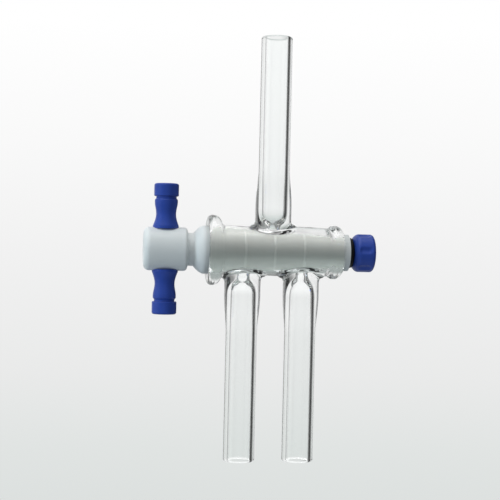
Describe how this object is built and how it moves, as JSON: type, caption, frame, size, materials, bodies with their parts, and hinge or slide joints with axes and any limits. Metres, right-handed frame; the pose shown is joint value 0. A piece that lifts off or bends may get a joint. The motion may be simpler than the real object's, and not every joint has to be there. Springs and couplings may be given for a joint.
{
  "type": "three-way glass stopcock",
  "caption": "Clear glass stopcock barrel with parallel straight arms, a tapered white plug with slanting passages, a crossbar handle, and a washer, seal and nut on its tail.",
  "frame": {"origin": "centre of the top arm's mouth", "axes": "+Z out of the top arm's mouth, along the arms; +X along the barrel's axis from the handle to the nut; -Y towards the viewer of the picture"},
  "size_m": [0.0891, 0.027, 0.1633],
  "materials": {
    "glass": "clear, fire-polished borosilicate glass",
    "ptfe": "white PTFE, waxy and smooth from turning",
    "blue_plastic": "moulded blue plastic, semi-gloss",
    "black_rubber": "black rubber, satin"
  },
  "bodies": {
    "barrel": {"glass_body": "glass"},
    "plug": {"plug": "ptfe", "handle_upper": "blue_plastic", "handle_lower": "blue_plastic", "washer": "ptfe"},
    "seal": {"o_ring": "black_rubber"},
    "nut": {"nut": "blue_plastic"}
  },
  "joints": [
    {"name": "plug_turn", "type": "hinge", "parent": "barrel", "child": "plug", "pos_m": [0, 0, -0.0825], "axis": [1, 0, 0], "continuous": true},
    {"name": "nut_travel", "type": "slide", "parent": "plug", "child": "seal", "axis": [1, 0, 0], "range_m": [0, 0.003]},
    {"name": "nut_turn", "type": "hinge", "parent": "seal", "child": "nut", "pos_m": [0.04, 0, -0.0825], "axis": [1, 0, 0], "range_deg": [0, 720]}
  ],
  "couplings": [
    {"joint": "nut_turn", "follows": "nut_travel", "rad_per_m": 4188.8}
  ]
}
